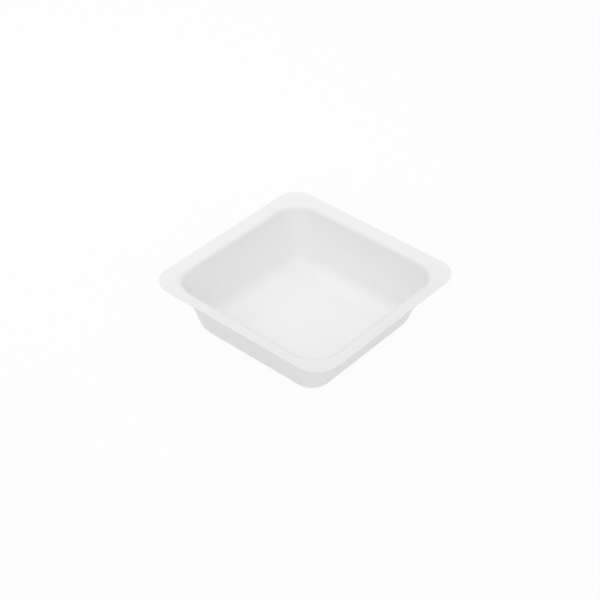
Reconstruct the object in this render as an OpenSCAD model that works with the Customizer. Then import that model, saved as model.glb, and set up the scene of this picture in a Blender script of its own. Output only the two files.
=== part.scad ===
// Square weighing boat, one piece of thin white sheet formed to shape: a rim that rises a
// little outward, four sloping walls and a flat floor, joined by bends and round corners.
// It stands on its floor, and the origin is under the middle of the floor.

/* [Rim] */
// Width of the square rim, from cut edge to cut edge
rim_w = 80; // [70:0.5:140]
// Radius of the rim's cut corners
rim_corner_r = 9; // [5:0.5:16]
// Width of the rim, from its cut edge in to the inner face of the wall
rim_ledge = 5.3; // [4:0.1:9]
// Slope of the rim, in degrees from level, rising outward
rim_rise = 5; // [0:0.5:8]
// Thickness of the rim
rim_t = 0.3; // [0.2:0.05:0.8]
// Radius under the bend from the rim down into the walls
rim_bend_r = 2; // [0.5:0.1:2.5]

/* [Walls] */
// Height of the boat, from the table to the top of the rim
height = 24; // [14:0.5:34]
// Slope of the walls, in degrees from upright
wall_draft = 15.5; // [6:0.5:25]
// Thickness of the walls
wall_t = 0.2; // [0.15:0.05:0.6]
// Radius inside the corners between two walls, at the height of the rim
mouth_corner_r = 10; // [7:0.5:16]

/* [Floor] */
// Thickness of the floor
floor_t = 0.25; // [0.15:0.05:0.6]
// Radius inside the bend from the floor up into the walls
floor_bend_r = 7.5; // [3:0.5:9]
// Radius inside the corners between two walls, at the height of the table
base_corner_r = 7.6; // [6:0.2:14]

/* [Hidden] */
$fn = 96;

// How far the circle of a bend runs past the flat faces that it joins, so that they cross
overrun = 0.0002;
// How far shapes run past the planes that cut them and the shapes that they join
spare = 1;

// Thickness of a wall, measured level
wall_step = wall_t / cos(wall_draft);
// Half the width inside the walls, carried up to the top of the rim and down to the table
mouth_half = rim_w / 2 - rim_ledge;
base_half = mouth_half - height * tan(wall_draft);

// A round corner has its centre this far from the middle, along x and along y. On the way up
// the centre leans out by its own slope, because the corner's radius changes.
base_centre = base_half - base_corner_r;
mouth_centre = mouth_half - mouth_corner_r;
corner_lean = (mouth_centre - base_centre) / height;

// The rim's top is at full height where its cut edge is farthest out past the centres of the
// corners between the walls. This is how far that is from the middle, seen across a wall.
cut_centre = rim_w / 2 - rim_corner_r;
far_corner = mouth_centre + sqrt(2) * (cut_centre - mouth_centre) + rim_corner_r;
edge_reach = max(rim_w / 2, far_corner);

// Half the width inside the walls at height z
function wall_x(z) = base_half + z * tan(wall_draft);

// Length that a bend of radius r, which turns the sheet by an angle, takes off each side
function bend_length(r, turn) = r * tan(turn / 2);

// Half of the section across a basin, from the middle out past the rim. The walls stand
// outset from the boat's inner faces, and the rim's face is sunk below its top. A bend
// joins the floor to the wall, and another flares the wall out into the rim. The section
// runs past the floor and the rim, and the basin is cut to its height later.
module basin_section(outset, floor_z, floor_r, sunk, mouth_r) {
    up_wall = [sin(wall_draft), cos(wall_draft)];
    along_rim = [cos(rim_rise), sin(rim_rise)];
    rim_end = [edge_reach + spare, height - sunk / cos(rim_rise) + spare * tan(rim_rise)];
    foot = [wall_x(floor_z) + outset, floor_z];
    // The faces of the wall and the rim cross at the lip.
    lip_z = (rim_end.y - (rim_end.x - wall_x(0) - outset) * tan(rim_rise))
        / (1 - tan(wall_draft) * tan(rim_rise));
    lip = [wall_x(lip_z) + outset, lip_z];
    foot_bend = bend_length(floor_r, 90 - wall_draft);
    lip_bend = bend_length(mouth_r, 90 - wall_draft - rim_rise);
    difference() {
        union() {
            polygon([
                [0, -spare],
                [foot.x - foot_bend, -spare],
                foot - [foot_bend, 0],
                foot + foot_bend * up_wall,
                lip - lip_bend * up_wall,
                lip + lip_bend * along_rim,
                rim_end,
                [rim_end.x, height + spare],
                [0, height + spare]
            ]);
            translate(foot + [-foot_bend, floor_r])
                circle(r = floor_r + overrun);
        }
        translate(lip + lip_bend * along_rim + mouth_r * [sin(rim_rise), -cos(rim_rise)])
            circle(r = mouth_r + overrun);
    }
}

// The part of a half section outside the centre of the corner, straightened up on it
module straightened()
    intersection() {
        translate([0, -spare])
            square([rim_w, height + 2 * spare]);
        multmatrix([[1, -corner_lean, 0, -base_centre]])
            children();
    }

// A quarter of a basin, made from its half section. The straightened section is turned
// through the corner and drawn out along both sides, the middle is filled, and then all
// of it leans out as the corner does.
module basin_quarter(floor_z, top_z) {
    intersection() {
        translate([0, 0, floor_z])
            cube([rim_w, rim_w, top_z - floor_z]);
        multmatrix([[1, 0, corner_lean, base_centre], [0, 1, corner_lean, base_centre]]) {
            rotate_extrude(angle = 90)
                straightened() children();
            translate([-rim_w, 0, 0])
                rotate([90, 0, 90])
                    linear_extrude(rim_w)
                        straightened() children();
            rotate([90, 0, 0])
                linear_extrude(rim_w)
                    straightened() children();
            translate([-rim_w, -rim_w, -spare])
                cube([rim_w + spare, rim_w + spare, height + 2 * spare]);
        }
    }
}

// A square basin with round corners, made from its half section
module basin(floor_z, top_z) {
    for (turn = [0 : 90 : 270])
        rotate(turn)
            basin_quarter(floor_z, top_z) children();
}

// All that is above the boat's underside, as if it were solid
module outside() {
    basin(floor_z = 0, top_z = height + spare / 2)
        basin_section(
            outset = wall_step,
            floor_z = 0,
            floor_r = floor_bend_r + floor_t,
            sunk = rim_t,
            mouth_r = rim_bend_r
        );
}

// The space inside the boat and over its rim
module inside() {
    basin(floor_z = floor_t, top_z = height + spare)
        basin_section(
            outset = 0,
            floor_z = floor_t,
            floor_r = floor_bend_r,
            sunk = 0,
            mouth_r = rim_bend_r + rim_t
        );
}

// The outline that the rim is cut to, carried down past the floor
module rim_outline() {
    flat = 2 * cut_centre;
    translate([0, 0, -spare])
        linear_extrude(height + 1.25 * spare) {
            square([rim_w, flat], center = true);
            square([flat, rim_w], center = true);
            for (x = [-1, 1], y = [-1, 1])
                translate(cut_centre * [x, y])
                    circle(r = rim_corner_r);
        }
}

module weighing_boat() {
    color("white")
        difference() {
            intersection() {
                rim_outline();
                outside();
            }
            inside();
        }
}

weighing_boat();
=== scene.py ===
import math

import bmesh
import bpy
from mathutils import Matrix, Vector


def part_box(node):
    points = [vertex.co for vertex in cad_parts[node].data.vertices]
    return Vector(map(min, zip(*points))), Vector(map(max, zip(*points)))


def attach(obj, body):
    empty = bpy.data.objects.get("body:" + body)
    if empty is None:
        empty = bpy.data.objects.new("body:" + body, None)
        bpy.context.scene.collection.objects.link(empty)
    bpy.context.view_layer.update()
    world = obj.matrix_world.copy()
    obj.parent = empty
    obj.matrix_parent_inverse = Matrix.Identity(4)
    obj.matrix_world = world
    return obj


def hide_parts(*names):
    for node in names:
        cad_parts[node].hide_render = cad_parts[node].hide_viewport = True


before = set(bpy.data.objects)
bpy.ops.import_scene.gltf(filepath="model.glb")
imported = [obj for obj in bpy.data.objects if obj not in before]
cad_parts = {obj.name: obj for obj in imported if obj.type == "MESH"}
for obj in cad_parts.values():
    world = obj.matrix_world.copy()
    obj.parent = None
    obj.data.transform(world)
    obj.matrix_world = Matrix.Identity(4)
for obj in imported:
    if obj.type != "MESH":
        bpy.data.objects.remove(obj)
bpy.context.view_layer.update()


# ---- Boat ----------------------------------------------------------------------------
# One square weighing boat of thin white polystyrene sheet, drawn warm over a block: a flat
# floor, four sloping walls, round corners, and a rim that rises a little outward to its
# cut edge. It stands loose on its floor.

low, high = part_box("weighing_boat")
rim_half = (high[0] - low[0]) / 2
boat_height = high[2] - low[2]
table_z = low[2]

rim_ledge = 0.0053
rim_rise = math.radians(5)
rim_thickness = 0.0003
rim_cut_corner = 0.009
rim_bend = 0.0020
cut_edge_round = 0.00009

wall_slope = math.radians(15.5)
wall_thickness = 0.0002
mouth_corner = 0.010

floor_thickness = 0.00025
floor_bend = 0.0075
base_corner = 0.0076

mouth_half = rim_half - rim_ledge
base_half = mouth_half - boat_height * math.tan(wall_slope)
base_centre = base_half - base_corner
mouth_centre = mouth_half - mouth_corner
corner_lean = (mouth_centre - base_centre) / boat_height
cut_centre = rim_half - rim_cut_corner
edge_reach = mouth_centre + math.sqrt(2) * (cut_centre - mouth_centre) + rim_cut_corner

floor_places = (0.12, 0.25, 0.4, 0.55, 0.7, 0.82, 0.91, 0.97)
floor_bend_steps = 16
wall_steps = 14
rim_bend_steps = 12
rim_steps = 6
cut_edge_steps = 4
corner_steps = 28
side_steps = 22
beside_bend = 0.02


def on_wall(z, outset):
    """Half the width between two walls at height z, outset from their inner faces."""
    return base_half + z * math.tan(wall_slope) + outset


def ring_in_basin(reach, z):
    """A ring of the basin: its reach from the middle, corner centre and height."""
    return reach, base_centre + corner_lean * z, z


def bend(reach, z, radius, start, end, steps):
    """Rings round a bend about the point at reach and z, from one angle to another."""
    return [
        ring_in_basin(reach + radius * math.cos(a), z + radius * math.sin(a))
        for a in (start + (end - start) * i / steps for i in range(steps + 1))
    ]


def between(first, last, steps):
    """Rings between two others, without them. The outer ones lie close to those two."""
    places = [beside_bend] + [i / steps for i in range(1, steps)] + [1 - beside_bend]
    return [tuple(a + (b - a) * p for a, b in zip(first, last)) for p in places]


def rim_z(reach, sunk):
    """Height of the rim's face, sunk below its top, at a reach from the middle."""
    return boat_height - sunk / math.cos(rim_rise) - (edge_reach - reach) * math.tan(rim_rise)


def rim_face(sunk, lift=0.0):
    """A function of x and y that gives the height of the rim's face there."""
    def face_z(x, y):
        past_x, past_y = abs(x) - mouth_centre, abs(y) - mouth_centre
        past = math.hypot(past_x, past_y) if min(past_x, past_y) > 0 else max(past_x, past_y)
        return rim_z(mouth_centre + past, sunk) + lift
    return face_z


def basin_skin(outset, floor_z, floor_radius, sunk, mouth_radius):
    """Rings of one skin of the sheet, from the middle of the floor out to the rim."""
    foot_bend = floor_radius * math.tan((math.pi / 2 - wall_slope) / 2)
    floor_edge = on_wall(floor_z, outset) - foot_bend
    floor_rings = [(floor_edge * place, base_centre * place, floor_z)
                   for place in floor_places]
    foot = bend(floor_edge, floor_z + floor_radius, floor_radius,
                -math.pi / 2, -wall_slope, floor_bend_steps)
    lip_z = (rim_z(on_wall(0, outset), sunk)
             / (1 - math.tan(wall_slope) * math.tan(rim_rise)))
    lip_bend = mouth_radius * math.tan((math.pi / 2 - wall_slope - rim_rise) / 2)
    lip_x = on_wall(lip_z, outset) + lip_bend * math.cos(rim_rise)
    lip = bend(lip_x + mouth_radius * math.sin(rim_rise),
               lip_z + lip_bend * math.sin(rim_rise) - mouth_radius * math.cos(rim_rise),
               mouth_radius, math.pi - wall_slope, math.pi / 2 + rim_rise, rim_bend_steps)
    return floor_rings + foot + between(foot[-1], lip[0], wall_steps) + lip


def rim_skin(skin, sunk):
    """Rings of one face of the rim, from the end of a basin's skin out to the cut edge."""
    cut = rim_half - cut_edge_round, cut_centre, 0.0
    return [(reach, centre, rim_face(sunk))
            for reach, centre, _ in between(skin[-1], cut, rim_steps)]


def cut_edge():
    """Rings round the cut edge of the rim, from its underside up to its top."""
    rings = []
    for sunk, start, inset in ((rim_thickness, -math.pi / 2, cut_edge_round),
                               (0.0, 0.0, -cut_edge_round)):
        for i in range(cut_edge_steps + 1):
            a = start + i * math.pi / 2 / cut_edge_steps
            inward = cut_edge_round * (1 - math.cos(a))
            lift = inward * math.tan(rim_rise) + inset + cut_edge_round * math.sin(a)
            rings.append((rim_half - inward, cut_centre, rim_face(sunk, lift)))
    return rings


def round_square(bm, reach, centre, height):
    """One closed ring of points: four straight sides and four round corners."""
    radius = reach - centre
    points = []
    for turn in range(4):
        spin = Matrix.Rotation(turn * math.pi / 2, 3, "Z")
        for i in range(corner_steps):
            a = i / corner_steps * math.pi / 2
            points.append(spin @ Vector((centre + radius * math.cos(a),
                                         centre + radius * math.sin(a), 0)))
        for i in range(side_steps):
            along = centre * (1 - 2 * i / side_steps)
            points.append(spin @ Vector((along, reach, 0)))
    for p in points:
        p.z = table_z + (height(p.x, p.y) if callable(height) else height)
    return [bm.verts.new(p) for p in points]


outer_skin = basin_skin(wall_thickness / math.cos(wall_slope), 0.0,
                        floor_bend + floor_thickness, rim_thickness, rim_bend)
inner_skin = basin_skin(0.0, floor_thickness, floor_bend, 0.0, rim_bend + rim_thickness)
section = (outer_skin + rim_skin(outer_skin, rim_thickness) + cut_edge()
           + rim_skin(inner_skin, 0.0)[::-1] + inner_skin[::-1])

boat_bm = bmesh.new()
rings = [round_square(boat_bm, *ring) for ring in section]
for lower, upper in zip(rings, rings[1:]):
    for i in range(len(lower)):
        j = (i + 1) % len(lower)
        boat_bm.faces.new((lower[i], lower[j], upper[j], upper[i]))
for ring, z in ((rings[0], table_z), (rings[-1], table_z + floor_thickness)):
    middle = boat_bm.verts.new((0.0, 0.0, z))
    for i in range(len(ring)):
        boat_bm.faces.new((middle, ring[i], ring[(i + 1) % len(ring)]))
bmesh.ops.recalc_face_normals(boat_bm, faces=boat_bm.faces)
for face in boat_bm.faces:
    face.smooth = True

boat_mesh = bpy.data.meshes.new("weighing_boat_sheet")
boat_bm.to_mesh(boat_mesh)
boat_bm.free()
boat = bpy.data.objects.new("weighing_boat_sheet", boat_mesh)
bpy.context.scene.collection.objects.link(boat)

thin_white = (0.874, 0.874, 0.876, 1)
dense_white = (0.893, 0.892, 0.891, 1)
polystyrene_ior = 1.59
cloudy_share = 0.65
mottle_share = 0.35
satin_roughness = (0.40, 0.48)
satin_drift = (-0.03, 0.03)
relief_unit = 0.000006
grain_relief = 0.35
line_relief = 0.6
cloudy_relief = 8.0
noise_middle = (0.3, 0.7)
noise_whole = (0.0, 1.0)

polystyrene = bpy.data.materials.new("satin_white_polystyrene")
polystyrene.use_nodes = True
nodes, links = polystyrene.node_tree.nodes, polystyrene.node_tree.links
plastic = nodes["Principled BSDF"]
plastic.inputs["IOR"].default_value = polystyrene_ior

place = nodes.new("ShaderNodeTexCoord")


def noise(name, scale, detail, stretch=(1, 1, 1)):
    """A noise in the boat's own coordinates, with scale as waves in a metre."""
    lay = nodes.new("ShaderNodeMapping")
    lay.inputs["Scale"].default_value = stretch
    links.new(place.outputs["Object"], lay.inputs["Vector"])
    texture = nodes.new("ShaderNodeTexNoise")
    texture.name = texture.label = name
    texture.inputs["Scale"].default_value = scale
    texture.inputs["Detail"].default_value = detail
    links.new(lay.outputs["Vector"], texture.inputs["Vector"])
    return texture.outputs["Fac"]


def spread(value, span, out):
    """value carried from one span of numbers to another."""
    carry = nodes.new("ShaderNodeMapRange")
    for end, number in zip(("From Min", "From Max", "To Min", "To Max"), span + out):
        carry.inputs[end].default_value = number
    links.new(value, carry.inputs["Value"])
    return carry.outputs["Result"]


def total(first, second):
    """The sum of two values."""
    add = nodes.new("ShaderNodeMath")
    add.operation = "ADD"
    links.new(first, add.inputs[0])
    links.new(second, add.inputs[1])
    return add.outputs["Value"]


cloudy = noise("cloudy_density", scale=55, detail=3)
mottle = noise("mottle", scale=420, detail=4)
drawn_lines = noise("drawn_lines", scale=1.0, detail=3, stretch=(18, 900, 18))
grain = noise("mould_grain", scale=3600, detail=3)

shade = total(spread(cloudy, noise_middle, (0.0, cloudy_share)),
              spread(mottle, noise_middle, (0.0, mottle_share)))
tint = nodes.new("ShaderNodeMix")
tint.data_type = "RGBA"
tint.inputs["A"].default_value = thin_white
tint.inputs["B"].default_value = dense_white
links.new(shade, tint.inputs["Factor"])
links.new(tint.outputs["Result"], plastic.inputs["Base Color"])

satin = total(spread(mottle, noise_middle, satin_roughness),
              spread(cloudy, noise_middle, satin_drift))
links.new(satin, plastic.inputs["Roughness"])

relief = total(spread(grain, noise_whole, (0.0, grain_relief)),
               spread(drawn_lines, noise_whole, (0.0, line_relief)))
relief = total(relief, spread(cloudy, noise_whole, (0.0, cloudy_relief)))
bump = nodes.new("ShaderNodeBump")
bump.inputs["Strength"].default_value = 1.0
bump.inputs["Distance"].default_value = relief_unit
links.new(relief, bump.inputs["Height"])
links.new(bump.outputs["Normal"], plastic.inputs["Normal"])

boat_mesh.materials.append(polystyrene)
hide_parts("weighing_boat")
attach(boat, "root")


# ---- Table top -----------------------------------------------------------------------
# A large white card under the boat that glows softly, like a light table. From above it
# looks as white as the room, with the boat's faint shadow on it. From below it is clear,
# so that the underside of the boat can be seen.

card_half = 3.0
card_gap = 0.00005
card_white = 0.50
card_glow = 0.40
shown_white = 0.991
shadow_share = 0.09
open_light = 0.93
shadow_end = 0.12
plain_from = 0.40

card_bm = bmesh.new()
card_bm.faces.new([card_bm.verts.new((x * card_half, y * card_half, table_z - card_gap))
                   for x, y in ((-1, -1), (1, -1), (1, 1), (-1, 1))])
card_mesh = bpy.data.meshes.new("white_card")
card_bm.to_mesh(card_mesh)
card_bm.free()
card = bpy.data.objects.new("white_card", card_mesh)
bpy.context.scene.collection.objects.link(card)

card_finish = bpy.data.materials.new("white_card")
card_finish.use_nodes = True
card_finish.cycles.emission_sampling = "NONE"
tree = card_finish.node_tree
tree.nodes.remove(tree.nodes["Principled BSDF"])


def seen_directly(tree):
    """1 for what the camera, a reflection or glass sees, and 0 for light on its way."""
    path = tree.nodes.new("ShaderNodeLightPath")
    seen = path.outputs["Is Camera Ray"]
    for ray in ("Is Glossy Ray", "Is Transmission Ray"):
        either = tree.nodes.new("ShaderNodeMath")
        either.operation = "MAXIMUM"
        tree.links.new(seen, either.inputs[0])
        tree.links.new(path.outputs[ray], either.inputs[1])
        seen = either.outputs["Value"]
    return seen


def glow(strength):
    """An even light that the card gives off."""
    light = tree.nodes.new("ShaderNodeEmission")
    light.inputs["Strength"].default_value = strength
    return light.outputs["Emission"]


def matte_glow(white, strength):
    """A matte surface that also glows."""
    matte = tree.nodes.new("ShaderNodeBsdfDiffuse")
    matte.inputs["Color"].default_value = (white, white, white, 1)
    both = tree.nodes.new("ShaderNodeAddShader")
    tree.links.new(matte.outputs["BSDF"], both.inputs[0])
    tree.links.new(glow(strength), both.inputs[1])
    return both.outputs["Shader"]


def choice(factor, at_zero, at_one):
    """One of two surfaces, or a mix of them, as the factor says."""
    mix = tree.nodes.new("ShaderNodeMixShader")
    for value, socket in zip((factor, at_zero, at_one), mix.inputs):
        tree.links.new(value, socket)
    return mix.outputs["Shader"]


card_place = tree.nodes.new("ShaderNodeTexCoord")
from_middle = tree.nodes.new("ShaderNodeVectorMath")
from_middle.operation = "LENGTH"
tree.links.new(card_place.outputs["Object"], from_middle.inputs[0])
fade = tree.nodes.new("ShaderNodeMapRange")
fade.interpolation_type = "SMOOTHSTEP"
fade.inputs["From Min"].default_value = shadow_end
fade.inputs["From Max"].default_value = plain_from
tree.links.new(from_middle.outputs["Value"], fade.inputs["Value"])

# The part that shows the shadow has a small share of its light from the room and lamps.
with_shadow = matte_glow(shadow_share, shown_white - shadow_share * open_light)
shown = choice(fade.outputs["Result"], with_shadow, glow(shown_white))
from_above = choice(seen_directly(tree), matte_glow(card_white, card_glow), shown)
side = tree.nodes.new("ShaderNodeNewGeometry")
clear = tree.nodes.new("ShaderNodeBsdfTransparent")
surface = choice(side.outputs["Backfacing"], from_above, clear.outputs["BSDF"])
tree.links.new(surface, tree.nodes["Material Output"].inputs["Surface"])
card_mesh.materials.append(card_finish)


# ---- Light ---------------------------------------------------------------------------
# A white room lights the boat a little from all sides. Large soft lamps in front, at the
# left and at the right give its walls their shades, and two small ones behind brighten
# the rims.

room_light = 0.251
room_white = 0.991

world = bpy.data.worlds.new("white_room")
bpy.context.scene.world = world
world.use_nodes = True
tree = world.node_tree
room = tree.nodes["Background"]
room.inputs["Color"].default_value = (1, 1, 1, 1)
level = tree.nodes.new("ShaderNodeMapRange")
level.inputs["To Min"].default_value = room_light
level.inputs["To Max"].default_value = room_white
tree.links.new(seen_directly(tree), level.inputs["Value"])
tree.links.new(level.outputs["Result"], room.inputs["Strength"])

camera_turn = math.radians(39.67)
camera_rise = math.radians(38.70)


def from_boat(heading, rise):
    """The direction from the boat to something that stands at a heading and a rise."""
    return Vector((math.sin(heading) * math.cos(rise),
                   -math.cos(heading) * math.cos(rise), math.sin(rise)))


def lamp(name, turn, rise, distance, size, power):
    """A square soft lamp that faces the boat, turned left from the camera's side."""
    back = from_boat(camera_turn - math.radians(turn), math.radians(rise))
    data = bpy.data.lights.new(name, "AREA")
    data.size = size
    data.energy = power
    panel = bpy.data.objects.new(name, data)
    panel.location = back * distance
    panel.rotation_mode = "QUATERNION"
    panel.rotation_quaternion = back.to_track_quat("Z", "Y")
    panel.visible_camera = False
    bpy.context.scene.collection.objects.link(panel)


lamp("lamp_front", turn=0, rise=42, distance=1.0, size=1.1, power=1.594)
lamp("lamp_left", turn=45, rise=42, distance=1.0, size=1.1, power=3.225)
lamp("lamp_right", turn=-90, rise=62, distance=1.0, size=1.4, power=3.431)
lamp("lamp_low_right", turn=-45, rise=20, distance=1.0, size=0.6, power=1.023)
lamp("lamp_behind_left", turn=140, rise=50, distance=0.4, size=0.3, power=0.362)
lamp("lamp_behind_right", turn=-140, rise=50, distance=0.4, size=0.3, power=0.148)


# ---- Camera --------------------------------------------------------------------------
# It looks down on the near corner of the boat through a long lens, and leaves white space
# all round the boat.

camera_roll = math.radians(1.43)
camera_distance = 0.570
camera_aim = (-0.00196, 0.00050)
width_in_view = 0.21938
sensor_width = 36.0

back = from_boat(camera_turn, camera_rise)
level_right = Vector((math.cos(camera_turn), math.sin(camera_turn), 0.0))
level_up = back.cross(level_right)
right = math.cos(camera_roll) * level_right + math.sin(camera_roll) * level_up
up = back.cross(right)

view_data = bpy.data.cameras.new("camera")
view_data.sensor_width = sensor_width
view_data.lens = sensor_width * camera_distance / width_in_view
view_data.clip_start = 0.01
view_data.clip_end = 20.0
view = bpy.data.objects.new("camera", view_data)
middle = Vector((0.0, 0.0, table_z + boat_height / 2))
view.location = (middle + camera_aim[0] * right + camera_aim[1] * up
                 + camera_distance * back)
view.rotation_mode = "QUATERNION"
view.rotation_quaternion = Matrix((right, up, back)).transposed().to_quaternion()
bpy.context.scene.collection.objects.link(view)
bpy.context.scene.camera = view
bpy.context.scene.view_settings.view_transform = "Standard"
